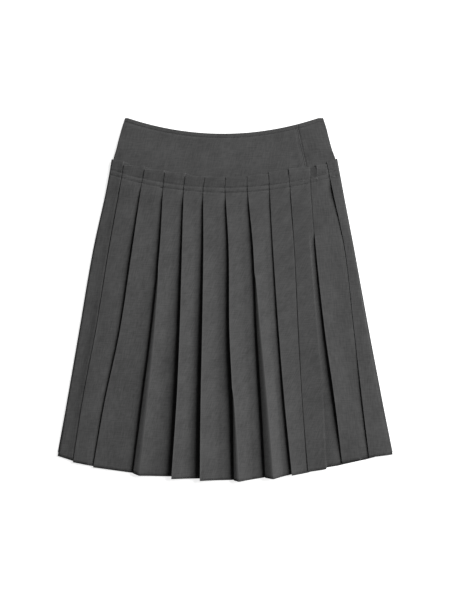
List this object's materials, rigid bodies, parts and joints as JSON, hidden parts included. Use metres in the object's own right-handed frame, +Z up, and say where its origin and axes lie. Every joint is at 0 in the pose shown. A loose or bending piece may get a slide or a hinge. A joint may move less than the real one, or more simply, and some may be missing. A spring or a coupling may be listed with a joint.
{
  "type": "pleated midi skirt",
  "caption": "Midi skirt laid flat: a shaped hip yoke, and knife pleats whose short free header laps over it, with a concealed closure at the side front.",
  "frame": {"origin": "on the surface that the skirt lies on, under the middle of its outline", "axes": "+X to the viewer's right with the front up, +Y from the hem to the waist, +Z up from the surface"},
  "size_m": [0.654, 0.7092, 0.0187],
  "materials": {
    "suiting": "matt charcoal wool suiting, pressed"
  },
  "bodies": {
    "root": {"pleats_front": "suiting", "pleats_side_front": "suiting", "pleats_back": "suiting", "yoke_front": "suiting", "yoke_side_front": "suiting", "yoke_back": "suiting"}
  },
  "joints": []
}
